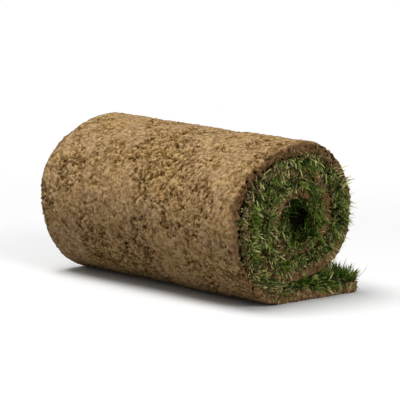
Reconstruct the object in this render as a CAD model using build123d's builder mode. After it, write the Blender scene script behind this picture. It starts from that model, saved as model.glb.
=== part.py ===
"""A roll of turf: one strip of rooted soil and grass, wound up with the grass inside.

The roll lies on its side. X runs along the roll, Z is up, and the origin is on the ground
in the middle of the roll's footprint. The free end of the strip reaches out towards +Y.
"""

from build123d import *
from math import sqrt
import os

# The strip as it was cut, in millimetres
strip_width = 370
soil_thickness = 16

# The roll as it has settled: its weight packs the grass above and below the hollow,
# and the grass at the two sides stays loose
roll_width = 250
roll_height = 220
packed_grass = 14
loose_grass = 29
foot_flat = 20

# The hollow along the middle of the winding, and how far the strip's inner end
# bends on over it, in degrees
hollow_width = 46
hollow_height = 38
inner_end_sweep = 45

# The free end of the strip, which lies flat beside the roll
tail_overhang = 18
pinched_length = 40

# The two ends of the roll, where the soil stands out from the grass between its turns
grass_setback = 8
end_bevel = 5

# From one turn to the next: up and down, and at the sides
turn_rise = soil_thickness + packed_grass
turn_reach = soil_thickness + loose_grass

# From the centre of the winding to where it starts at the foot, and the same at its side
start_drop = (roll_height + turn_rise / 2) / 2
start_reach = (roll_width + turn_reach) / 2


def reach(quarter, inset=0):
    """How far the winding is from its centre after so many quarter turns.

    Quarter 0 is the foot of the roll, 1 its left side, 2 its top, 3 its right side and
    4 the foot of the next turn. The inset is measured inwards from the strip's outer face.
    """
    if quarter % 2:
        return start_reach - turn_reach * quarter / 4 - inset
    return start_drop - turn_rise * quarter / 4 - inset


def settled_run(quarter):
    """Length of the flat that the roll's weight gives a turn as it passes the foot."""
    return foot_flat * reach(quarter) / reach(0)


def core_faces(last_quarter):
    """How far the soil around the hollow is from the centre: foot, left, top and right."""
    faces = [0, 0, 0, 0]
    for quarter in range(last_quarter - 3, last_quarter + 1):
        faces[quarter % 4] = reach(quarter, soil_thickness)
    return faces


def hollow_fits(last_quarter):
    """Whether a winding that ends here has room for the hollow, with packed grass around it."""
    foot, left, top, right = core_faces(last_quarter)
    room_up = foot + top - 2 * packed_grass
    room_across = left + right - 2 * packed_grass
    return room_up >= hollow_height and room_across >= hollow_width


def quarter_arc(quarter, inset, sweep=90):
    """The arc of an ellipse from one quarter of the winding to the next, or further on."""
    across = reach(quarter if quarter % 2 else quarter + 1, inset)
    upward = reach(quarter + 1 if quarter % 2 else quarter, inset)
    shift = 0 if quarter % 4 else settled_run(quarter)
    start = 270 - 90 * (quarter % 4)
    return EllipticalCenterArc((-shift, 0), across - shift, upward, start, arc_size=-sweep)


def winding(quarters, inset, last_sweep=90):
    """One line of the winding, from the foot inwards, and the point where it ends."""
    for quarter in range(quarters):
        if quarter % 4 == 0:
            drop = reach(quarter, inset)
            Line((0, -drop), (-settled_run(quarter), -drop))
        arc = quarter_arc(quarter, inset, last_sweep if quarter == quarters - 1 else 90)
    return arc @ 1


def soil_outline(inset):
    """The soil from its free end beside the roll to its inner end, drawn in at both faces."""
    lower = inset - start_drop
    upper = soil_thickness - inset - start_drop
    Line((0, lower), (tail_end, lower))
    Line((tail_end, lower), (tail_end, upper))
    Line((tail_end, upper), (0, upper))
    outer_end = winding(quarters, inset, 90 + inner_end_sweep)
    inner_end = winding(quarters, soil_thickness - inset, 90 + inner_end_sweep)
    Line(outer_end, inner_end)


# The strip is wound for as long as the hollow still fits inside
quarters = 4
while hollow_fits(quarters + 1):
    quarters += 1

tail_end = reach(3) + tail_overhang
section = Plane(
    origin=(0, (reach(1) - tail_end) / 2, start_drop),
    x_dir=(0, 1, 0),
    z_dir=(1, 0, 0),
)

# The grass reaches halfway into the soil, so that the two are one body
grass_base = soil_thickness / 2
grass_floor = grass_base - start_drop
tail_grass = grass_base + packed_grass
pinch_share = pinched_length / reach(3, grass_base)
pinch_top = -reach(4, grass_base) * sqrt(1 - pinch_share**2)

foot_face, left_face, top_face, right_face = core_faces(quarters)
hollow_centre = ((right_face - left_face) / 2, (top_face - foot_face) / 2)

with BuildPart() as turf_roll:
    # The soil, with the worn edges that its turns show at both ends of the roll
    with BuildSketch(section):
        with BuildLine():
            soil_outline(0)
        make_face()
    extrude(amount=strip_width / 2 - end_bevel, both=True)
    for side in (1, -1):
        for inset in (0, end_bevel):
            with BuildSketch(section.offset(side * (strip_width / 2 - end_bevel + inset))):
                with BuildLine():
                    soil_outline(inset)
                make_face()
        loft(ruled=True)

    # The grass that fills the winding, lies on the free end and is pinched under the roll
    with BuildSketch(section):
        with BuildLine():
            closing_point = winding(4, grass_base)
            Line(closing_point, (0, grass_floor))
        make_face()
        with Locations((0, grass_floor)):
            Rectangle(tail_end - grass_setback, tail_grass, align=Align.MIN)
            Rectangle(pinched_length, pinch_top - grass_floor, align=Align.MIN)
    extrude(amount=strip_width / 2 - grass_setback, both=True)

    # The hollow, open at both ends
    with BuildSketch(section):
        with Locations(hollow_centre):
            Ellipse(hollow_width / 2, hollow_height / 2)
    extrude(amount=strip_width / 2, both=True, mode=Mode.SUBTRACT)
turf_roll.part.label = "turf_roll"

os.makedirs("parts", exist_ok=True)
export_step(turf_roll.part, "parts/turf_roll.step")
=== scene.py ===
"""A roll of turf: one strip of rooted soil and grass, wound up with the grass inside."""

import math

import bpy
import numpy as np
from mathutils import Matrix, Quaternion, Vector, noise


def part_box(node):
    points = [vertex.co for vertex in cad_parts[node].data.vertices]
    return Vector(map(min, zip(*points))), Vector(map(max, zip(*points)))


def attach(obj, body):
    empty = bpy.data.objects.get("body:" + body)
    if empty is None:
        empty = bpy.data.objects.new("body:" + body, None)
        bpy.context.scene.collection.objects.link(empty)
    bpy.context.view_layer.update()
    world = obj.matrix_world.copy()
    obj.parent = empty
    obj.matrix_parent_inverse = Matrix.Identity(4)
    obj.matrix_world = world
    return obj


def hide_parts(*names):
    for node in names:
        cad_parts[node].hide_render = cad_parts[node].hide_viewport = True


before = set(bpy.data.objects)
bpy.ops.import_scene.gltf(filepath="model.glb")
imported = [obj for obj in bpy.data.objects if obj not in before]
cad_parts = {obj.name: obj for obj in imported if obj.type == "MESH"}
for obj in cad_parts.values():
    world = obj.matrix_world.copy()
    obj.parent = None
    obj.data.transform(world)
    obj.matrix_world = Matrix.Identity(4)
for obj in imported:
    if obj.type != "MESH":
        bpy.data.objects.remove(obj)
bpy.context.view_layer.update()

# The winding
# Turf is cut as one long strip and rolled up with the grass inside. The roll has settled:
# its turns are packed above and below the hollow and looser at the two sides. Sizes are in
# metres here and below, and the quarter turns are counted inwards from the foot of the roll.

soil_thickness = 0.016
packed_grass = 0.014
loose_grass = 0.029
foot_flat = 0.020
tail_overhang = 0.018
inner_end_sweep = 45
last_quarter = 10

low_corner, high_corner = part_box("turf_roll")
half_strip = high_corner.x
roll_height = high_corner.z - low_corner.z
roll_width = high_corner.y - low_corner.y - tail_overhang
turn_rise = soil_thickness + packed_grass
turn_reach = soil_thickness + loose_grass
start_drop = (roll_height + turn_rise / 2) / 2
start_reach = (roll_width + turn_reach) / 2


def reach(quarter, inset=0.0):
    """Distance from the winding's centre after so many quarter turns from the foot."""
    if quarter % 2:
        return start_reach - turn_reach * quarter / 4 - inset
    return start_drop - turn_rise * quarter / 4 - inset


tail_end = reach(3) + tail_overhang
centre_y = low_corner.y + reach(1)
centre_z = low_corner.z + start_drop


def winding_points():
    """Close points along the strip's outer face, from the tip of the free end inwards."""
    points = [(tail_end, -start_drop), (0.0, -start_drop)]
    starts = []
    for quarter in range(last_quarter):
        starts.append(len(points) - 1)
        shift = foot_flat * reach(quarter) / reach(0) if quarter % 4 == 0 else 0.0
        across = reach(quarter if quarter % 2 else quarter + 1) - shift
        upward = reach(quarter + 1 if quarter % 2 else quarter)
        sweep = 90 + (inner_end_sweep if quarter == last_quarter - 1 else 0)
        start = 270 - 90 * (quarter % 4)
        for angle in np.radians(np.linspace(start, start - sweep, sweep)):
            points.append((across * math.cos(angle) - shift, upward * math.sin(angle)))
    return np.array(points), starts


outer_line, quarter_starts = winding_points()
line_steps = np.linalg.norm(np.diff(outer_line, axis=0), axis=1)
line_lengths = np.concatenate([[0.0], np.cumsum(line_steps)])
quarter_lengths = [line_lengths[start] for start in quarter_starts]
strip_length = line_lengths[-1]


def strip_frame(lengths):
    """Points (y, z) on the strip's outer face at these lengths, and the normals into the roll."""
    y, z = outer_line[:, 0], outer_line[:, 1]
    reach_out = 0.002
    ahead = lengths + reach_out
    behind = lengths - reach_out
    across = np.interp(ahead, line_lengths, y) - np.interp(behind, line_lengths, y)
    up = np.interp(ahead, line_lengths, z) - np.interp(behind, line_lengths, z)
    normals = np.stack([up, -across], axis=-1) / np.hypot(across, up)[..., None]
    middle_y = np.interp(lengths, line_lengths, y) + centre_y
    middle_z = np.interp(lengths, line_lengths, z) + centre_z
    return np.stack([middle_y, middle_z], axis=-1), normals


# Soil
# The soil is a sheared mat of crumbs and fine roots. Its outer face has dried to a pale brown
# and is pitted where crumbs fell out; the cut edges at the two ends are moist and darker.

net_step = 0.0017
edge_round = 0.005
edge_depth = 0.021
edge_wear = 0.0015
edge_wander = 0.0045
inner_setback = 0.0020
inner_wander = 0.0060
turn_sway = 0.0065

# How many swings of the noise there are to a metre, along the roll and across it. The shifts
# bring the largest torn areas to about where the photograph shows them.
swell_swings = (9, 9)
ripple_swings = (34, 34)
tear_swings = (19, 14)
tear_shift = (118.3, 135.6, 162.9)
fray_swings = (66, 44)
fray_shift = (63.4, 93.4, 89.0)
shred_swings = (190, 120)
bend_swings = (90, 90)
crumb_swings = (249.75, 185)
grit_swings = (270, 270)
bend_strength = 0.45

# Each crumb has its luck, from -1 to 1, and has fallen out where that is below this limit. The
# limit is raised where the soil is torn.
fall_limit = -0.86

# Without a seed, noise_vector takes its offsets from the clock and differs from run to run.
noise.seed_set(5)


def stretched(point, swings, shift=(0, 0, 0)):
    """A point in the space of the noise, with its swings along the roll and across it."""
    along, across = swings
    x, y, z = point
    return x * along + shift[0], y * across + shift[1], z * across + shift[2]


def crumbly(point, lump, grain, pit, smear):
    """Push along the normal at a point of cut soil, the relief that the material paints lighter on
    crests and darker in pits as painted light and shade, and how torn the soil is there. The
    knife smears the outer face into a crust along the strip; where the crust has torn off, loose
    crumbs and pits show."""
    swell = noise.noise(stretched(point, swell_swings))
    swell += 0.4 * noise.noise(stretched(point, ripple_swings, (7, 0, 0)))
    torn = noise.noise(stretched(point, tear_swings, tear_shift))
    torn += 0.7 * noise.noise(stretched(point, fray_swings, fray_shift))
    torn += 0.25 * noise.noise(stretched(point, shred_swings, (0, 0, 9)))
    crust = min(1.0, max(0.0, 0.5 - 3.5 * torn)) * smear
    bend = noise.noise_vector(stretched(point, bend_swings)) * bend_strength
    apart, seeds = noise.voronoi(Vector(stretched(point, crumb_swings)) + bend)
    rounding = min(1.0, (apart[1] - apart[0]) * 2.2)
    luck = noise.cell(seeds[0] * 57.3)
    crumb = rounding * (0.35 + 0.65 * luck) * grain * (1 - 0.7 * crust)
    grit = noise.noise(stretched(point, grit_swings, (0, 3, 0))) * grain * (0.60 - 0.25 * crust)
    fallen_out = luck < fall_limit + torn
    hole = -rounding * pit * (0.6 - 0.4 * luck) if fallen_out else 0.0
    relief = crumb + grit + hole
    return swell * lump + crust * grain * 0.7 + relief, relief, torn


def sheet_normals(grid):
    """Unit normals of a net of points, to the side that its faces look to."""
    normals = np.cross(np.gradient(grid, axis=1), np.gradient(grid, axis=0))
    return normals / np.maximum(np.linalg.norm(normals, axis=2, keepdims=True), 1e-9)


def mesh_piece(name, points, faces, values, material):
    """A smooth mesh that rides with the roll, with its numbers at each point for the material."""
    mesh = bpy.data.meshes.new(name)
    mesh.from_pydata(points.reshape(-1, 3), [], faces)
    for label, numbers in values.items():
        layer = mesh.attributes.new(label, "FLOAT", "POINT")
        layer.data.foreach_set("value", np.asarray(numbers, dtype=np.float32).ravel())
    mesh.shade_smooth()
    mesh.materials.append(material)
    piece = bpy.data.objects.new(name, mesh)
    bpy.context.collection.objects.link(piece)
    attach(piece, "root")
    return piece


def net_faces(rows, columns, closed=False):
    """Quads of a net of points. A closed net joins its last row to its first."""
    row = np.arange(rows if closed else rows - 1)[:, None]
    column = np.arange(columns - 1)[None, :]
    following = (row + 1) % rows
    quad = [(row, column), (row, column + 1), (following, column + 1), (following, column)]
    return np.stack([r * columns + c for r, c in quad], axis=-1).reshape(-1, 4).tolist()


def rough_sheet(name, grid, lump, grain, pit, material, damp=0.0, smear=0.0, closed=False):
    """A net of points made rough. Its relief goes from 0 in a pit over 0.5 to 1 on a crest, and
    its damp from 0 where it has dried to 1 where it is wet."""
    rows, columns = grid.shape[:2]
    grains = np.broadcast_to(grain, (rows, columns)).ravel()
    smears = np.broadcast_to(smear, (rows, columns)).ravel()
    places = zip(grid.reshape(-1, 3).tolist(), grains.tolist(), smears.tolist())
    made = [crumbly(point, lump, size, pit, smeared) for point, size, smeared in places]
    push, relief, torn = np.array(made).T
    points = grid + sheet_normals(grid) * push.reshape(rows, columns, 1)
    points[..., 2] = np.maximum(points[..., 2], low_corner.z)
    relief = 0.5 + 0.5 * np.where(relief < 0, relief / (grains + pit), relief / grains)
    values = {
        "relief": np.clip(relief, 0, 1),
        "torn": np.clip(0.5 + torn, 0, 1),
        "damp": np.broadcast_to(damp, (rows, columns)),
    }
    return mesh_piece(name, points, net_faces(rows, columns, closed), values, material)


def node(tree, kind, **settings):
    """A shader node. Settings that start with in_ are values of its inputs."""
    made = tree.nodes.new(kind)
    for label, value in settings.items():
        if label.startswith("in_"):
            made.inputs[label[3:].replace("_", " ")].default_value = value
        else:
            setattr(made, label, value)
    return made


def feed(tree, socket, value):
    """Links a socket to an input, or sets the input to a plain value."""
    if isinstance(value, bpy.types.NodeSocket):
        tree.links.new(value, socket)
    else:
        socket.default_value = value


def ramp(tree, factor, stops):
    """A colour ramp with these stops, fed by a factor."""
    made = tree.nodes.new("ShaderNodeValToRGB")
    elements = made.color_ramp.elements
    while len(elements) < len(stops):
        elements.new(0.5)
    for element, (place, colour) in zip(elements, stops):
        element.position = place
        element.color = (*colour, 1) if isinstance(colour, tuple) else (colour, colour, colour, 1)
    feed(tree, made.inputs["Fac"], factor)
    return made.outputs["Color"]


def mix(tree, kind, factor, first, second):
    """Two colours mixed by a factor."""
    made = node(tree, "ShaderNodeMix", data_type="RGBA", blend_type=kind)
    feed(tree, made.inputs[0], factor)
    feed(tree, made.inputs[6], first)
    feed(tree, made.inputs[7], second)
    return made.outputs[2]


def maths(tree, operation, first, second=0.0):
    """A sum, product or other operation on two numbers."""
    made = node(tree, "ShaderNodeMath", operation=operation)
    feed(tree, made.inputs[0], first)
    feed(tree, made.inputs[1], second)
    return made.outputs[0]


def cloud(tree, place, scale, detail, roughness=0.5, distortion=0.0):
    """Soft noise of this scale, as a number."""
    made = node(
        tree,
        "ShaderNodeTexNoise",
        in_Scale=scale,
        in_Detail=detail,
        in_Roughness=roughness,
        in_Distortion=distortion,
    )
    tree.links.new(place, made.inputs["Vector"])
    return made.outputs["Fac"]


def grit_cells(tree, place, scale):
    """One random number for each crumb of this scale."""
    made = node(tree, "ShaderNodeTexVoronoi", in_Scale=scale)
    tree.links.new(place, made.inputs["Vector"])
    split = node(tree, "ShaderNodeSeparateColor")
    tree.links.new(made.outputs["Color"], split.inputs["Color"])
    return split.outputs["Red"]


def crumbly_soil_group():
    """Shader group: the speckled colour of rooted soil, with painted light on its crests and
    painted shade in its pits, and its roughness and finest relief.
    """
    tree = bpy.data.node_groups.new("crumbly_soil", "ShaderNodeTree")
    for label, way, kind in (
        ("Relief", "INPUT", "Float"),
        ("Torn", "INPUT", "Float"),
        ("Damp", "INPUT", "Float"),
        ("Color", "OUTPUT", "Color"),
        ("Roughness", "OUTPUT", "Float"),
        ("Height", "OUTPUT", "Float"),
    ):
        tree.interface.new_socket(label, in_out=way, socket_type="NodeSocket" + kind)
    given = tree.nodes.new("NodeGroupInput").outputs
    result = tree.nodes.new("NodeGroupOutput").inputs
    place = tree.nodes.new("ShaderNodeTexCoord").outputs["Object"]
    patches = cloud(tree, place, scale=17, detail=5, roughness=0.65)
    shades = cloud(tree, place, scale=75, detail=3, roughness=0.6)
    grit = cloud(tree, place, scale=150, detail=4, roughness=0.65)
    coarse = grit_cells(tree, place, scale=180)
    small = grit_cells(tree, place, scale=380)
    # Painted light and shade: the relief makes the colour lighter on crests and darker in pits
    tone = maths(tree, "MULTIPLY", given["Relief"], 0.36)
    for part, share in ((grit, 0.57), (coarse, 0.12), (small, 0.24), (shades, 0.16)):
        tone = maths(tree, "ADD", tone, maths(tree, "MULTIPLY", part, share))
    loam = ramp(
        tree,
        tone,
        [
            (0.50, (0.027, 0.013, 0.003)),
            (0.59, (0.096, 0.049, 0.014)),
            (0.67, (0.184, 0.103, 0.035)),
            (0.76, (0.280, 0.170, 0.068)),
            (0.90, (0.500, 0.345, 0.172)),
        ],
    )
    crust = ramp(
        tree,
        tone,
        [
            (0.50, (0.099, 0.054, 0.017)),
            (0.62, (0.240, 0.144, 0.059)),
            (0.74, (0.352, 0.225, 0.105)),
            (0.92, (0.540, 0.374, 0.196)),
        ],
    )
    shown = maths(tree, "MULTIPLY", patches, 0.4)
    shown = maths(tree, "ADD", maths(tree, "MULTIPLY", given["Torn"], 0.6), shown)
    dry = mix(tree, "MIX", ramp(tree, shown, [(0.43, 0.0), (0.56, 1.0)]), crust, loam)
    hues = cloud(tree, place, scale=26, detail=3, roughness=0.6)
    hue = ramp(tree, hues, [(0.42, (1.00, 0.98, 0.88)), (0.58, (1.0, 0.98, 1.02))])
    dry = mix(tree, "MULTIPLY", 1.0, dry, hue)
    # Painted shade: pits are darkened further by their relief
    pit_shade = ramp(tree, given["Relief"], [(0.08, 0.22), (0.40, 1.0)])
    pit_shaded = mix(tree, "MULTIPLY", 1.0, dry, pit_shade)
    damp = mix(tree, "MULTIPLY", given["Damp"], pit_shaded, (0.40, 0.33, 0.29, 1))
    tree.links.new(damp, result["Color"])
    smoother = maths(tree, "MULTIPLY", given["Damp"], 0.15)
    feed(tree, result["Roughness"], maths(tree, "SUBTRACT", 0.97, smoother))
    height = maths(tree, "ADD", maths(tree, "MULTIPLY", grit, 0.8), maths(tree, "MULTIPLY", small, 0.2))
    tree.links.new(height, result["Height"])
    return tree


crumbly_soil = crumbly_soil_group()


def soil_material():
    """Soil with its relief and dampness from the mesh, and its finest grain from a bump."""
    material = bpy.data.materials.new("rooted_soil")
    material.use_nodes = True
    tree = material.node_tree
    shader = tree.nodes["Principled BSDF"]
    shader.inputs["Specular IOR Level"].default_value = 0.08
    group = node(tree, "ShaderNodeGroup", node_tree=crumbly_soil)
    for label in ("Relief", "Torn", "Damp"):
        number = node(tree, "ShaderNodeAttribute", attribute_name=label.lower())
        tree.links.new(number.outputs["Fac"], group.inputs[label])
    bump = node(tree, "ShaderNodeBump", in_Strength=0.9, in_Distance=0.0025)
    tree.links.new(group.outputs["Height"], bump.inputs["Height"])
    tree.links.new(group.outputs["Color"], shader.inputs["Base Color"])
    tree.links.new(group.outputs["Roughness"], shader.inputs["Roughness"])
    tree.links.new(bump.outputs["Normal"], shader.inputs["Normal"])
    return material


soil = soil_material()


def drift(lengths, swings, track):
    """Noise from -1 to 1 along the strip, with so many swings to a metre. Each of its tracks, a
    pair of numbers, drifts by itself."""
    return np.array([noise.noise((length * swings, *track)) for length in lengths])


def edge_profile(depth):
    """From the outer face, round a cut edge and back along the inner face: the distances from
    the cut and the insets from the outer face."""
    turn = np.radians(np.linspace(0, 90, 6))
    far = np.arange(depth, edge_round, -net_step)
    flat = np.arange(edge_round + net_step, soil_thickness - edge_round, net_step)
    rounded = edge_round * (1 - np.sin(turn))
    distances = np.concatenate([far, rounded, flat * 0, rounded[::-1], far[::-1]])
    outer_half = np.concatenate([far * 0, rounded[::-1], flat])
    inner_half = np.concatenate([soil_thickness - rounded, far * 0 + soil_thickness])
    return distances, np.concatenate([outer_half, inner_half])


def half_widths(lengths, side):
    """How far the cut edge is from the middle of the strip. It wanders along the strip."""
    wide = drift(lengths, 9, (side * 5.0, 0.5))
    narrow = drift(lengths, 38, (side * 7.0, 2.5))
    return half_strip - edge_wear + edge_wander * (0.6 * wide + 0.4 * narrow)


def soil_net(start, stop, share, inset):
    """Points of the soil between two lengths of the strip. Each column has its share of the half
    width and its inset from the outer face. Inside the outer turn the cut edge stands back more
    and the turns sway in and out."""
    lengths = np.arange(start, stop, net_step)
    middles, normals = strip_frame(lengths)
    widths = np.stack([half_widths(lengths, side) for side in (-1, 1)], axis=-1)
    buried = np.clip((lengths - outer_stop) / outer_overlap, 0, 1)
    widths -= (buried * (inner_setback + inner_wander * drift(lengths, 13, (9.5, 0.5))))[:, None]
    x = share * np.where(share < 0, widths[:, :1], widths[:, 1:])
    sway = buried * turn_sway * drift(lengths, 17, (4.5, 1.5))
    inset = inset + sway[:, None]
    y = middles[:, :1] + normals[:, :1] * inset
    z = middles[:, 1:] + normals[:, 1:] * inset
    return np.stack([x, y, z], axis=-1)


strip_start = 0.001
outer_overlap = 0.03
outer_stop = quarter_lengths[4] + outer_overlap
distances, insets = edge_profile(edge_depth)
face_x = np.arange(-half_strip + edge_depth, half_strip - edge_depth, net_step)[1:]
wide_x = np.concatenate([distances[::-1] - half_strip, face_x, half_strip - distances])
wide_share = wide_x / half_strip
wide_inset = np.concatenate([insets[::-1], face_x * 0, insets])

outer_lump = 0.0024
outer_pit = 0.0034
damp_margin = 0.007
damp_wander = 0.008
damp_fade = 0.006
wide_smear = 1 - np.clip(wide_inset / edge_round, 0, 1)
wide_grain = 0.0034 - 0.0012 * wide_smear


def edge_damp(start, rows):
    """How damp each point is: the outer face is dry, and the cut edge and a ragged margin beside
    it are moist, least of all on the free end, which the air reaches from both sides."""
    lengths = start + net_step * np.arange(rows)
    along = np.interp(lengths, [0.0, quarter_lengths[0], quarter_lengths[1]], [0.20, 0.45, 0.85])
    wander = [drift(lengths, 26, (side * 9.0, 6.5)) for side in (-1, 1)]
    margins = [damp_margin + damp_wander * one for one in wander]
    margin = np.where(wide_share < 0, margins[0][:, None], margins[1][:, None])
    from_cut = half_strip * (1 - np.abs(wide_share))
    soaked = (margin - from_cut) / damp_fade
    return along[:, None] * np.clip(np.maximum(wide_inset / edge_round, soaked), 0, 1)


def wide_soil(name, start, stop):
    """One length of the strip's soil, over its whole width."""
    net = soil_net(start, stop, wide_share, wide_inset)
    damp = edge_damp(start, len(net))
    return rough_sheet(name, net, outer_lump, wide_grain, outer_pit, soil, damp, wide_smear)


seam = strip_start + net_step * math.floor(quarter_lengths[1] / net_step)
wide_soil("lower_soil", strip_start, seam + net_step / 2)
upper_soil = wide_soil("upper_soil", seam, outer_stop)
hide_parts("turf_roll")

inner_edge_depth = 0.028
inner_stop = strip_length - 0.002
tip_wander = 0.0022


def inner_soil(label, side):
    """The cut edge of the soil at one end of the roll, in all the turns inside the outer one."""
    back, inset = edge_profile(inner_edge_depth)
    share = side * (half_strip - back) / half_strip
    net = soil_net(outer_stop - net_step, inner_stop, share, inset)[:, ::side]
    wetness = 0.75 + 0.9 * drift(net_step * np.arange(len(net)), 23, (2.5, side * 3.0))
    damp = np.clip(wetness, 0.3, 1)[:, None]
    rough_sheet(
        f"inner_turns_{label}_edge",
        net,
        lump=0.0030,
        grain=0.0028,
        pit=0.0045,
        material=soil,
        damp=damp,
    )


inner_soil("near", side=1)
inner_soil("far", side=-1)


def tip_net():
    """Points of the cut across the strip's free end, from its outer face up and back."""
    x = np.arange(-half_strip + 0.001, half_strip, net_step)
    wander = tip_wander * drift(x, 24, (3.5, 8.5))
    y = high_corner.y - 0.001 - distances[:, None] + wander[None, :]
    z = np.broadcast_to(low_corner.z + insets[:, None], y.shape)
    return np.stack([np.broadcast_to(x, y.shape), y, z], axis=-1)


rough_sheet(
    "free_end_tip",
    tip_net()[::-1],
    lump=0.0010,
    grain=0.0018,
    pit=0.0030,
    material=soil,
    damp=0.15,
)

# Crumbs
# Loose crumbs cling to the soil's outer face, and more of them close to its two cut edges. Each
# starts as an icosahedron: two poles, and two rings of five corners between them.

ring_radius = 0.894
ring_height = 0.447
crumb_corners = np.array(
    [(0, 0, 1), (0, 0, -1)]
    + [
        (ring_radius * math.cos(angle), ring_radius * math.sin(angle), ring_height * end)
        for end, shift in ((1, 0), (-1, 36))
        for angle in np.radians(np.arange(0, 360, 72) + shift)
    ]
)
crumb_faces = [(0, 2 + k, 2 + (k + 1) % 5) for k in range(5)]
crumb_faces += [(1, 7 + (k + 1) % 5, 7 + k) for k in range(5)]
crumb_faces += [(2 + k, 7 + k, 2 + (k + 1) % 5) for k in range(5)]
crumb_faces += [(7 + k, 7 + (k + 1) % 5, 2 + (k + 1) % 5) for k in range(5)]


def crumbs(name, places, sizes, damp, dice):
    """Small angular lumps at these places, all one mesh."""
    count = len(places)
    each = len(crumb_corners)
    stretch = dice.uniform(0.6, 1.3, (count, 1, 3))
    knock = dice.uniform(0.75, 1.2, (count, each, 1))
    points = places[:, None] + crumb_corners[None] * stretch * knock * sizes[:, None, None] / 2
    points[..., 2] = np.maximum(points[..., 2], low_corner.z)
    faces = (np.array(crumb_faces)[None] + each * np.arange(count)[:, None, None]).reshape(-1, 3)
    values = {
        "relief": np.repeat(dice.uniform(0.3, 1.0, count), each),
        "torn": np.repeat(dice.uniform(0.3, 0.8, count), each),
        "damp": np.repeat(damp, each),
    }
    mesh_piece(name, points, faces.tolist(), values, soil)


def scattered(dice, count, margin, cut_share, cut_margin):
    """Places on the outer face, a share of them close to the two cut edges: their lengths along
    the strip, their distances from its middle, and which of them are close to a cut."""
    lengths = dice.uniform(0.004, quarter_lengths[4] - 0.03, count)
    x = dice.uniform(-1, 1, count) * (half_strip - margin)
    near_cut = dice.uniform(0, 1, count) < cut_share
    at_cut = half_strip - dice.exponential(0.010, count) - cut_margin
    return lengths, np.where(near_cut, np.sign(x) * at_cut, x), near_cut


def swell_at(x, middles):
    """How far the outer face swells out at these places."""
    return np.array([crumbly((a, b, c), outer_lump, 0, 0, 0)[0] for a, (b, c) in zip(x, middles)])


def clinging_crumbs(count, seed):
    """Crumbs all over the outer face, and more of them close to the two cut edges."""
    dice = np.random.default_rng(seed)
    lengths, x, _ = scattered(dice, count, margin=0.004, cut_share=0.2, cut_margin=0.009)
    middles, normals = strip_frame(lengths)
    sizes = 0.0010 + dice.exponential(0.0006, count).clip(0, 0.0030)
    flat = middles - normals * (swell_at(x, middles) - sizes * 0.05)[:, None]
    crumbs("clinging_crumbs", np.column_stack([x, flat]), sizes, np.zeros(count), dice)


clinging_crumbs(count=700, seed=21)

# Packed grass
# The mown grass between the turns is pressed into a springy mat of green and dead stems.
# It stands back a little from the cut edges, lines the hollow and covers the free end.

mat_setback = 0.017
mouth_depth = 0.020
hollow_half_width = 0.023
hollow_half_height = 0.019
core = {q % 4: reach(q, soil_thickness) for q in range(last_quarter - 3, last_quarter + 1)}
hollow_y = centre_y + (core[3] - core[1]) / 2
hollow_z = centre_z + (core[2] - core[0]) / 2

# The rows of the mat's net are a step apart at this radius, and its points on this long a way in
mat_step = 0.0026
mat_radius = 0.075
mat_reach = 0.085
lining_points = 80


def thatch_colours():
    """Shader group: dead stems and crumbs showing between pressed green blades, with painted shade
    in the mat's hollows.
    """
    tree = bpy.data.node_groups.new("thatch_colours", "ShaderNodeTree")
    for label, way, kind in (
        ("Relief", "INPUT", "Float"),
        ("Color", "OUTPUT", "Color"),
        ("Height", "OUTPUT", "Float"),
    ):
        tree.interface.new_socket(label, in_out=way, socket_type="NodeSocket" + kind)
    given = tree.nodes.new("NodeGroupInput").outputs
    result = tree.nodes.new("NodeGroupOutput").inputs
    place = tree.nodes.new("ShaderNodeTexCoord").outputs["Object"]
    stems = cloud(tree, place, scale=330, detail=4, distortion=1.5)
    clumps = cloud(tree, place, scale=60, detail=2)
    green = ramp(
        tree,
        stems,
        [(0.32, (0.002, 0.004, 0.001)), (0.54, (0.012, 0.024, 0.002)), (0.76, (0.070, 0.095, 0.014))],
    )
    dead = ramp(
        tree,
        stems,
        [(0.32, (0.008, 0.004, 0.001)), (0.54, (0.040, 0.025, 0.009)), (0.78, (0.170, 0.115, 0.045))],
    )
    mixed = mix(tree, "MIX", ramp(tree, clumps, [(0.44, 0.0), (0.56, 1.0)]), green, dead)
    # Painted shade: the mat's hollows are darkened by their relief
    shade = ramp(tree, given["Relief"], [(0.15, 0.35), (0.75, 1.0)])
    tree.links.new(mix(tree, "MULTIPLY", 1.0, mixed, shade), result["Color"])
    tree.links.new(stems, result["Height"])
    return tree


def thatch_material():
    """Pressed grass, its colours by the group and its stems by a bump."""
    material = bpy.data.materials.new("packed_thatch")
    material.use_nodes = True
    tree = material.node_tree
    shader = tree.nodes["Principled BSDF"]
    shader.inputs["Roughness"].default_value = 0.85
    shader.inputs["Specular IOR Level"].default_value = 0.25
    group = node(tree, "ShaderNodeGroup", node_tree=thatch_colours())
    relief = node(tree, "ShaderNodeAttribute", attribute_name="relief")
    bump = node(tree, "ShaderNodeBump", in_Strength=0.9, in_Distance=0.002)
    tree.links.new(relief.outputs["Fac"], group.inputs["Relief"])
    tree.links.new(group.outputs["Color"], shader.inputs["Base Color"])
    tree.links.new(group.outputs["Height"], bump.inputs["Height"])
    tree.links.new(bump.outputs["Normal"], shader.inputs["Normal"])
    return material


thatch = thatch_material()


def mat_outline(angles):
    """Distance from the hollow's middle to halfway into the outer turn's soil, at these angles."""
    lengths = np.linspace(quarter_lengths[0], quarter_lengths[4], 600)
    middles, normals = strip_frame(lengths)
    ring = middles + normals * soil_thickness / 2 - (hollow_y, hollow_z)
    at = np.arctan2(ring[:, 1], ring[:, 0]) % (2 * math.pi)
    far = np.hypot(ring[:, 0], ring[:, 1])
    order = np.argsort(at)
    return np.interp(angles, at[order], far[order], period=2 * math.pi)


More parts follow.
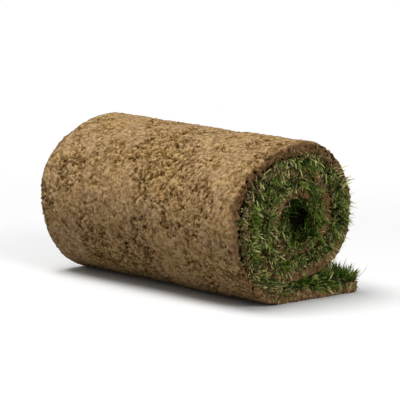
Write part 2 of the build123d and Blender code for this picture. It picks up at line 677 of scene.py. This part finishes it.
def spool_net():
    """Rows round the roll: in over one end, along the hollow and out over the other end."""
    angles = np.arange(0, 2 * math.pi, mat_step / mat_radius)
    far = mat_outline(angles)
    near = 1 / np.hypot(np.cos(angles) / hollow_half_width, np.sin(angles) / hollow_half_height)
    inward = np.arange(1, 0, -mat_step / mat_reach)
    lining = np.linspace(1, -1, lining_points)
    share = np.concatenate([inward, lining * 0, inward[::-1]])
    mouth = mouth_depth * (1 - share) ** 4
    x = np.concatenate([inward * 0 + 1, lining, inward * 0 - 1]) * (half_strip - mat_setback)
    x = x - np.sign(x) * mouth
    distance = near[:, None] + (far - near)[:, None] * share[None, :]
    y = hollow_y + np.cos(angles)[:, None] * distance
    z = hollow_z + np.sin(angles)[:, None] * distance
    return np.stack([np.broadcast_to(x, y.shape), y, z], axis=-1)


rough_sheet(
    "packed_grass",
    spool_net()[::-1],
    lump=0.0040,
    grain=0.0025,
    pit=0.0060,
    material=thatch,
    closed=True,
)

free_mat_depth = 0.008
free_mat_start = -0.010
free_mat_stop = tail_end - 0.004
free_mat_base = soil_thickness - 0.004
free_mat_taper = 0.008
pinched_until = 0.045
pinched_overlap = 0.003
smoothed_over = 9


def wedge_room(y):
    """Height between the free end's soil and the roll's outer face, this far from the centre."""
    roll_side = reach(4) * np.sqrt(np.maximum(0, 1 - (y / reach(3)) ** 2))
    return start_drop - soil_thickness - roll_side


def free_mat_net():
    """The pressed grass on the free end, which fills the wedge where the roll pinches it."""
    along = np.arange(free_mat_start, free_mat_stop, mat_step)
    drop = np.linspace(0, 1, 6)
    flat = np.arange(-half_strip + mat_setback, half_strip - mat_setback, mat_step)
    x = np.concatenate([flat[:1] + drop * 0, flat[1:-1], flat[-1:] + drop * 0])
    rise = np.concatenate([drop, flat[1:-1] * 0 + 1, drop[::-1]])
    depth = np.where(along < pinched_until, wedge_room(along) + pinched_overlap, free_mat_depth)
    depth = np.pad(depth, smoothed_over // 2, mode="edge")
    depth = np.convolve(depth, np.ones(smoothed_over) / smoothed_over, mode="valid")
    tip = np.clip((free_mat_stop - along) / free_mat_taper, 0, 1)
    z = low_corner.z + free_mat_base + (depth * tip)[:, None] * rise[None, :]
    y = np.broadcast_to((centre_y + along)[:, None], z.shape)
    return np.stack([np.broadcast_to(x, z.shape), y, z], axis=-1)


rough_sheet(
    "free_end_grass_mat",
    free_mat_net(),
    lump=0.0020,
    grain=0.0020,
    pit=0.0030,
    material=thatch,
)

# Grass blades
# Lawn grass mown to about 35 mm. Each blade is a narrow folded leaf that tapers to a point;
# where the roll was cut they spring out over its ends, and on the free end they stand up.

blade_levels = np.array([0.0, 0.22, 0.48, 0.75, 1.0])
blade_taper = np.array([0.70, 1.00, 0.92, 0.62, 0.0])
blade_fold = 0.22
blade_twist = 1.6
tuft_size = 7
blade_places = ("tint", "along", "across")


def unit(vectors):
    """Vectors scaled to length one."""
    return vectors / np.maximum(np.linalg.norm(vectors, axis=-1, keepdims=True), 1e-9)


def leaves(roots, ways, bends, lengths, widths, dice):
    """Points and faces of many folded leaves. Each sets off on its way and turns with its bend."""
    count, levels = len(roots), len(blade_levels)
    share = blade_levels[None, :, None]
    spine = roots[:, None] + lengths[:, None, None] * (ways[:, None] * share + bends[:, None] * share**2)
    tangent = unit(ways[:, None] + 2 * bends[:, None] * share)
    sides = np.broadcast_to(unit(np.cross(ways, dice.normal(size=(count, 3))))[:, None], tangent.shape)
    twist = dice.uniform(-blade_twist, blade_twist, count)[:, None, None] * share
    sides = unit(sides * np.cos(twist) + np.cross(tangent, sides) * np.sin(twist))
    half = (widths[:, None] * blade_taper[None, :] / 2)[..., None]
    lift = np.cross(sides, tangent) * half * 2 * blade_fold
    body = np.stack([spine - sides * half + lift, spine, spine + sides * half + lift], axis=2)
    points = np.concatenate([body[:, :-1].reshape(count, -1, 3), spine[:, -1:]], axis=1)
    each = points.shape[1]
    quads = []
    for low in range(0, 3 * (levels - 2), 3):
        quads += [(low, low + 1, low + 4, low + 3), (low + 1, low + 2, low + 5, low + 4)]
    tips = [(each - 4, each - 3, each - 1), (each - 3, each - 2, each - 1)]
    start = (np.arange(count) * each)[:, None, None]
    faces = (np.array(quads)[None] + start).reshape(-1, 4).tolist()
    faces += (np.array(tips)[None] + start).reshape(-1, 3).tolist()
    return points, faces


def blade_piece(name, points, faces, tints):
    """The blades as one mesh, with the numbers that colour them."""
    count, each = points.shape[:2]
    across = [-1.0, 0.0, 1.0] * (len(blade_levels) - 1) + [0.0]
    values = {
        "tint": np.repeat(tints, each),
        "along": np.tile(np.append(np.repeat(blade_levels[:-1], 3), 1.0), count),
        "across": np.tile(across, count),
    }
    return mesh_piece(name, points, faces, values, blades)


def blade_material():
    """Blades from green over straw to brown by their tint. Painted shade darkens them towards the
    root and painted light brightens their upper part; they are pale along the midrib, and their
    tips have dried."""
    material = bpy.data.materials.new("grass_blades")
    material.use_nodes = True
    tree = material.node_tree
    shader = tree.nodes["Principled BSDF"]
    shader.inputs["Roughness"].default_value = 0.6
    shader.inputs["Specular IOR Level"].default_value = 0.13
    tint, along, across = (
        node(tree, "ShaderNodeAttribute", attribute_name=label).outputs["Fac"]
        for label in blade_places
    )
    colour = ramp(
        tree,
        tint,
        [
            (0.00, (0.007, 0.020, 0.001)),
            (0.18, (0.026, 0.062, 0.004)),
            (0.38, (0.082, 0.158, 0.012)),
            (0.55, (0.180, 0.265, 0.042)),
            (0.68, (0.385, 0.450, 0.125)),
            (0.80, (0.630, 0.555, 0.270)),
            (0.90, (0.340, 0.230, 0.090)),
            (1.00, (0.085, 0.050, 0.018)),
        ],
    )
    # Painted shade towards each blade's root, and painted light on its upper part
    painted_shade_and_light = ramp(tree, along, [(0.0, (0.10, 0.09, 0.06)), (0.4, (0.58, 0.58, 0.54)), (0.85, 1.6)])
    dry = ramp(tree, along, [(0.84, 0.0), (1.0, 0.55)])
    beside = maths(tree, "ABSOLUTE", across)
    rib = ramp(tree, beside, [(0.0, (1.45, 1.40, 1.25)), (0.35, 0.84)])
    shaded = mix(tree, "MULTIPLY", 1.0, mix(tree, "MULTIPLY", 1.0, colour, painted_shade_and_light), rib)
    tipped = mix(tree, "MIX", dry, shaded, (0.36, 0.28, 0.12, 1))
    tree.links.new(tipped, shader.inputs["Base Color"])
    return material


blades = blade_material()

# Six bands of tint from deep green to brown, and their shares in different places
tint_edges = np.array([0.00, 0.25, 0.50, 0.64, 0.76, 0.88, 1.00])
mown_shares = (34, 26, 18, 16, 5, 1)
dead_shares = (22, 16, 10, 16, 20, 16)
free_shares = (34, 38, 14, 8, 4, 2)
root_shares = (0, 0, 0, 6, 40, 54)
litter_shares = (4, 8, 12, 20, 34, 22)


def blade_tints(dice, shares, count):
    """A tint for each blade or tuft, drawn from the six bands with these shares."""
    band = dice.choice(len(shares), size=count, p=np.array(shares) / sum(shares))
    return dice.uniform(tint_edges[band], tint_edges[band + 1])


def held_back(beyond, limit):
    """How far to take a point back that reaches beyond an edge, to keep it within a limit."""
    return beyond - limit * np.tanh(beyond / limit)


bare_rim = 0.006
bare_fade = 0.03
shade_length = 0.06
lowest_blade = low_corner.z + 0.0005


def strip_gap(lengths):
    """Room for grass above the strip's inner face at these lengths from its free end."""
    stations = quarter_lengths + [strip_length]
    quarters = np.interp(lengths, stations, np.arange(len(stations), dtype=float))
    return packed_grass + (loose_grass - packed_grass) * np.sin(quarters * math.pi / 2) ** 2


def beside_hollow(flat):
    """Points in the plane of the section, with those inside the hollow moved onto its wall."""
    middle = np.array([hollow_y, hollow_z])
    half_size = np.array([hollow_half_width, hollow_half_height])
    share = np.linalg.norm((flat - middle) / half_size, axis=1, keepdims=True)
    return middle + (flat - middle) / share.clip(0.05, 1)


def bare_side(lengths, middles):
    """From 0 to 1: the outer turn's side away from the free end, where the thatch lies bare."""
    across = np.clip((centre_y - 0.030 - middles[:, 0]) / bare_fade, 0, 1)
    above = np.clip((middles[:, 1] - low_corner.z - 0.030) / bare_fade, 0, 1)
    return (lengths < quarter_lengths[4]) * across * above


def end_blades(label, side, count, stand_out, seed):
    """Blades that spring out between the turns over one end of the roll."""
    dice = np.random.default_rng(seed)
    tuft_count = count // tuft_size
    tuft = dice.integers(0, tuft_count, count)

    # Tufts root all along the strip, and more of them where its turns leave more room
    tuft_length = dice.uniform(0.004, strip_length - 0.004, tuft_count * 3)
    wanted = dice.uniform(0, loose_grass, len(tuft_length)) < strip_gap(tuft_length)
    tuft_length = tuft_length[wanted][:tuft_count]
    lengths = (tuft_length[tuft] + dice.normal(0, 0.0020, count)).clip(0.003, strip_length - 0.003)
    tuft_rise = dice.uniform(-0.05, 0.8, tuft_count)
    rise = (tuft_rise[tuft] + dice.normal(0, 0.07, count)).clip(-0.1, 0.9)
    middles, normals = strip_frame(lengths)
    tangents = np.stack([-normals[:, 1], normals[:, 0]], axis=-1)
    bare = bare_side(lengths, middles)
    inset = soil_thickness + strip_gap(lengths) * rise + bare_rim * bare
    flat = beside_hollow(middles + normals * inset[:, None])
    outer = lengths < quarter_lengths[4]
    shaded = np.clip((lengths - quarter_lengths[6]) / shade_length, 0, 1)
    deep = np.clip((lengths - quarter_lengths[7]) / shade_length, 0, 1)
    root_depth = dice.uniform(0.002, 0.020, tuft_count)[tuft] + dice.normal(0, 0.0015, count)

    # The knife combs some over the inner turns, and on the outer turn's side above the free end
    # tufts hang out over the edge as a fringe
    combed = drift(lengths, 17, (8.5, side * 4.0))
    laid_over = 0.25 + 0.75 * np.clip(0.5 + 1.8 * combed, 0, 1) + 0.25 * deep
    fringe_from = np.where(flat[:, 1] < centre_z, 0.038, 0.055)
    spill = np.where(outer, np.clip((flat[:, 0] - fringe_from) / 0.04, 0, 1), laid_over)
    inward = dice.uniform(0.1, 0.9, count) - spill * dice.uniform(0.2, 1.5, count)
    along = dice.normal(0, 0.60, tuft_count)[tuft] + dice.normal(0, 0.18, count)
    outward = dice.uniform(0.15, 0.9, tuft_count)[tuft] + dice.normal(0, 0.1, count)
    fringe = outer & (spill > 0.4) & (dice.uniform(0, 1, tuft_count)[tuft] < 0.45)
    fringe &= lengths > quarter_lengths[0]
    root_depth = root_depth.clip(0.001) * np.where(fringe, 0.65, 1)
    x = side * (half_strip - root_depth - 0.016 * deep * np.clip(rise / 0.35, 0, 1))
    inward = np.where(fringe, -dice.uniform(0.7, 1.2, count), inward)
    outward = np.where(fringe, dice.uniform(0.15, 0.45, count), outward)
    in_plane = normals * inward[:, None] + tangents * along[:, None]
    ways = unit(np.column_stack([side * outward, in_plane]))
    bends = dice.normal(0, 0.16, (count, 3)) + (0, 0, -0.20)
    sizes = 0.007 + 0.018 * dice.beta(1.5, 2.4, count) + 0.006 * fringe
    widths = dice.uniform(0.0010, 0.0025, count)

    # More blades are dead close to the soil, the fringe is paler, and the inner turns get painted shade
    dead = blade_tints(dice, dead_shares, tuft_count)
    tints = np.where(tuft_rise < 0.2, dead, blade_tints(dice, mown_shares, tuft_count))
    tints = tints[tuft] + dice.normal(0, 0.05, count)
    tints = np.where(fringe, 0.45 + 0.45 * tints, tints) * (1 - 0.35 * shaded - 0.25 * deep)

    # Where the thatch lies bare, the blades next to the soil are short and of straw or brown
    thatchy = rise < bare * (0.36 + 0.35 * combed)
    tints = np.where(thatchy, 0.78 + 0.22 * tints, tints)
    sizes = sizes * np.where(thatchy, 0.6, 1)
    points, faces = leaves(np.column_stack([x, flat]), ways, bends, sizes, widths, dice)
    beyond = np.maximum(points[..., 0] * side - half_strip, 0)
    points[..., 0] -= side * held_back(beyond, stand_out)
    points[..., 2] = np.maximum(points[..., 2], lowest_blade)
    blade_piece(f"grass_{label}_end", points, faces, tints.clip(0, 1))


end_blades("near", side=1, count=10500, stand_out=0.012, seed=11)
end_blades("far", side=-1, count=8400, stand_out=0.009, seed=12)


def free_end_blades(count, seed):
    """Blades on the free end: pressed over where the roll lies on them, upright beyond it."""
    dice = np.random.default_rng(seed)
    tuft_count = count // tuft_size
    tuft = dice.integers(0, tuft_count, count)
    y = dice.uniform(0.032, tail_end - 0.002, tuft_count)[tuft] + dice.normal(0, 0.0025, count)
    x = dice.uniform(-1, 1, tuft_count)[tuft] * (half_strip - 0.003) + dice.normal(0, 0.0025, count)
    y = y.clip(0.030, tail_end - 0.001)
    x = x.clip(-half_strip + 0.001, half_strip - 0.001)
    roots = np.column_stack([x, y + centre_y, np.full(count, low_corner.z + soil_thickness - 0.001)])

    # Laid over where the roll pinches them, more upright where the strip lies free, and drooping
    # over its three cut edges
    free = np.clip((y - pinched_until) / 0.07, 0, 1)
    lean = dice.normal(0, 0.28, (tuft_count, 2))[tuft] + dice.normal(0, 0.18, (count, 2))
    upward = 0.30 + 0.75 * free + dice.uniform(0, 0.2, count)
    over_side = np.sign(x) * np.clip(1 - (half_strip - np.abs(x)) / 0.012, 0, 1)
    over_tip = np.clip(1 - (tail_end - y) / 0.010, 0, 1)
    upward -= (np.abs(over_side) + over_tip) * dice.uniform(0, 0.8, count)
    ways = unit(np.column_stack([lean[:, 0] + 0.5 * over_side, lean[:, 1] + 0.9 - 0.65 * free, upward]))
    bends = dice.normal(0, 0.14, (count, 3)) + (0, 0.05, -0.12)
    sizes = dice.uniform(0.015, 0.031, count)
    widths = dice.uniform(0.0013, 0.0027, count)
    tints = blade_tints(dice, free_shares, tuft_count)[tuft] + dice.normal(0, 0.05, count)
    points, faces = leaves(roots, ways, bends, sizes, widths, dice)

    # Held back beyond the three edges, under the roll and above the ground
    over = np.maximum(points[..., 1] - high_corner.y, 0)
    points[..., 1] -= held_back(over, 0.013)
    beyond = np.maximum(np.abs(points[..., 0]) - half_strip, 0)
    points[..., 0] -= np.sign(points[..., 0]) * held_back(beyond, 0.010)
    ceiling = low_corner.z + soil_thickness + wedge_room(points[..., 1] - centre_y) - 0.001
    inside_wedge = np.abs(points[..., 1] - centre_y) < reach(3)
    points[..., 2] = np.where(inside_wedge, np.minimum(points[..., 2], ceiling), points[..., 2])
    points[..., 2] = np.maximum(points[..., 2], lowest_blade)
    blade_piece("grass_free_end", points, faces, tints.clip(0, 1))


free_end_blades(count=7500, seed=13)

# Roots and litter
# Fine roots and dead stems cling to the soil's outer face. Clippings and crumbs that fell out of
# the cut lie about on both ends of the roll, over the edges of its turns and on the grass.


def clinging_roots(count, seed):
    """Roots and stems pressed onto the outer face, and more of them close to the two cut edges."""
    dice = np.random.default_rng(seed)
    lengths, x, near_cut = scattered(dice, count, margin=0.012, cut_share=0.25, cut_margin=0.012)
    middles, normals = strip_frame(lengths)
    tangents = np.stack([-normals[:, 1], normals[:, 0]], axis=-1)
    angle = dice.uniform(0, 2 * math.pi, count)
    lift = dice.normal(0.01, 0.02, count)
    across = np.where(near_cut, -np.sign(x) * np.abs(np.cos(angle)), np.cos(angle))
    ways = np.column_stack([across, tangents * np.sin(angle)[:, None] - normals * lift[:, None]])
    sizes = 0.004 + dice.exponential(0.004, count).clip(0, 0.014)
    curl = normals * (np.sin(angle) ** 2 * sizes / roll_height)[:, None]
    curl += tangents * dice.normal(0, 0.16, (count, 1))
    bends = np.column_stack([dice.normal(0, 0.16, count), curl])
    widths = dice.uniform(0.0005, 0.0011, count)
    places = np.column_stack([x, middles - normals * (swell_at(x, middles) + 0.0010)[:, None]])
    tints = blade_tints(dice, root_shares, count)
    points, faces = leaves(places, unit(ways), bends, sizes, widths, dice)
    points[..., 2] = np.maximum(points[..., 2], low_corner.z)
    blade_piece("clinging_roots", points, faces, tints)


clinging_roots(count=1700, seed=41)


def end_litter(label, side, count, seed):
    """Short straw and clippings flat on one end of the roll, and crumbs between them."""
    dice = np.random.default_rng(seed)
    lengths = dice.uniform(quarter_lengths[0], quarter_lengths[9], count)
    middles, normals = strip_frame(lengths)
    inset = dice.uniform(0.3, 1.0, count) * (soil_thickness + strip_gap(lengths))
    inset = np.maximum(inset, (soil_thickness + 0.004) * bare_side(lengths, middles))
    flat = beside_hollow(middles + normals * inset[:, None])
    deep = np.clip((lengths - quarter_lengths[7]) / shade_length, 0, 1)
    on_wall = deep * (inset > soil_thickness + 0.002)
    x = side * (half_strip - 0.001 - 0.012 * on_wall + dice.normal(0, 0.0012, count))
    places = np.column_stack([x, flat])
    angle = dice.uniform(0, 2 * math.pi, count)
    ways = unit(np.column_stack([side * dice.uniform(-0.1, 0.3, count), np.cos(angle), np.sin(angle)]))
    bends = dice.normal(0, 0.12, (count, 3))
    sizes = dice.uniform(0.004, 0.012, count)
    widths = dice.uniform(0.0008, 0.0017, count)
    # Painted shade: clippings deep in the core and on the hollow's wall get darker tints
    tints = blade_tints(dice, litter_shares, count) * (1 - 0.25 * deep - 0.20 * on_wall)
    points, faces = leaves(places, ways, bends, sizes, widths, dice)
    blade_piece(f"clippings_{label}_end", points, faces, tints)
    crumb_count = count // 4
    dropped = places[:crumb_count] + dice.normal(0, 0.003, (crumb_count, 3)) * (0.4, 1, 1)
    grains = 0.0012 + dice.exponential(0.0009, crumb_count).clip(0, 0.003)
    crumbs(f"crumbs_{label}_end", dropped, grains, dice.uniform(0.2, 0.9, crumb_count), dice)


end_litter("near", side=1, count=3000, seed=31)
end_litter("far", side=-1, count=2000, seed=32)

# Floor, light and camera
# A pale floor that runs out into white, one broad lamp above the roll's outer face, a weaker
# one at its end, and the camera at the photograph's angle.

floor_size = 30.0
shade_until = 0.35
white_from = 1.1


def floor_material():
    """A pale floor that keeps the roll's shadow and turns white away from it, as a camera sees it.
    For the light that it throws back it is a middling grey."""
    material = bpy.data.materials.new("pale_floor")
    material.use_nodes = True
    tree = material.node_tree
    paint = tree.nodes["Principled BSDF"]
    paint.inputs["Roughness"].default_value = 0.9
    paint.inputs["Specular IOR Level"].default_value = 0.1
    seen = tree.nodes.new("ShaderNodeLightPath").outputs["Is Camera Ray"]
    colour = mix(tree, "MIX", seen, (0.42, 0.42, 0.42, 1), (0.93, 0.93, 0.93, 1))
    feed(tree, paint.inputs["Base Color"], colour)
    white = node(tree, "ShaderNodeEmission", in_Strength=1.0)
    place = tree.nodes.new("ShaderNodeTexCoord").outputs["Object"]
    away = node(tree, "ShaderNodeVectorMath", operation="LENGTH")
    tree.links.new(place, away.inputs[0])
    fade = node(tree, "ShaderNodeMapRange", in_From_Min=shade_until, in_From_Max=white_from)
    fade.interpolation_type = "SMOOTHSTEP"
    tree.links.new(away.outputs["Value"], fade.inputs["Value"])
    blend = tree.nodes.new("ShaderNodeMixShader")
    feed(tree, blend.inputs["Fac"], maths(tree, "MULTIPLY", fade.outputs["Result"], seen))
    tree.links.new(paint.outputs["BSDF"], blend.inputs[1])
    tree.links.new(white.outputs["Emission"], blend.inputs[2])
    tree.links.new(blend.outputs["Shader"], tree.nodes["Material Output"].inputs["Surface"])
    return material


floor_mesh = bpy.data.meshes.new("floor")
corners = [(x * floor_size, y * floor_size, 0) for x, y in ((-1, -1), (1, -1), (1, 1), (-1, 1))]
floor_mesh.from_pydata(corners, [], [(0, 1, 2, 3)])
floor_mesh.materials.append(floor_material())
floor = bpy.data.objects.new("floor", floor_mesh)
floor.location.z = low_corner.z - 0.0002
bpy.context.collection.objects.link(floor)

world = bpy.data.worlds.new("studio")
bpy.context.scene.world = world
world.use_nodes = True
world_tree = world.node_tree
sky = world_tree.nodes["Background"]
sky.inputs["Color"].default_value = (1, 1, 1, 1)
sky.inputs["Strength"].default_value = 0.29
backdrop = node(world_tree, "ShaderNodeBackground", in_Color=(1, 1, 1, 1), in_Strength=1.0)
rays = world_tree.nodes.new("ShaderNodeLightPath").outputs
either = maths(world_tree, "MAXIMUM", rays["Is Camera Ray"], rays["Is Glossy Ray"])
either = maths(world_tree, "MAXIMUM", either, rays["Is Transmission Ray"])
choose = world_tree.nodes.new("ShaderNodeMixShader")
feed(world_tree, choose.inputs["Fac"], either)
world_tree.links.new(sky.outputs["Background"], choose.inputs[1])
world_tree.links.new(backdrop.outputs["Background"], choose.inputs[2])
world_tree.links.new(choose.outputs["Shader"], world_tree.nodes["World Output"].inputs["Surface"])


def lamp(name, place, size, power):
    """A square lamp that faces the roll."""
    data = bpy.data.lights.new(name, "AREA")
    data.size = size
    data.energy = power
    made = bpy.data.objects.new(name, data)
    made.location = place
    made.rotation_euler = (roll_centre - Vector(place)).to_track_quat("-Z", "Y").to_euler()
    bpy.context.collection.objects.link(made)


roll_centre = Vector((0, centre_y, centre_z))
lamp("key_lamp", place=(-0.5, -1.1, 3.2), size=1.8, power=91)
lamp("end_lamp", place=(2.6, -0.6, 1.9), size=1.6, power=38)

# The camera's place, lean and lens were solved from the photograph, and it is zoomed in on the roll
eye = roll_centre + Vector((2.259, -2.447, 0.521))
upright_lean = 2.19
lens_pixels = 1087
photo_pixels = 400
zoom = 2.2
camera_data = bpy.data.cameras.new("camera")
camera_data.sensor_width = 36
camera_data.lens = lens_pixels * zoom / photo_pixels * camera_data.sensor_width
camera_data.clip_end = 100
camera = bpy.data.objects.new("camera", camera_data)
camera.location = eye
aim = (roll_centre - eye).to_track_quat("-Z", "Y")
camera.rotation_mode = "QUATERNION"
camera.rotation_quaternion = aim @ Quaternion((0, 0, 1), math.radians(upright_lean))
bpy.context.collection.objects.link(camera)
bpy.context.scene.camera = camera
bpy.context.scene.view_settings.view_transform = "Standard"
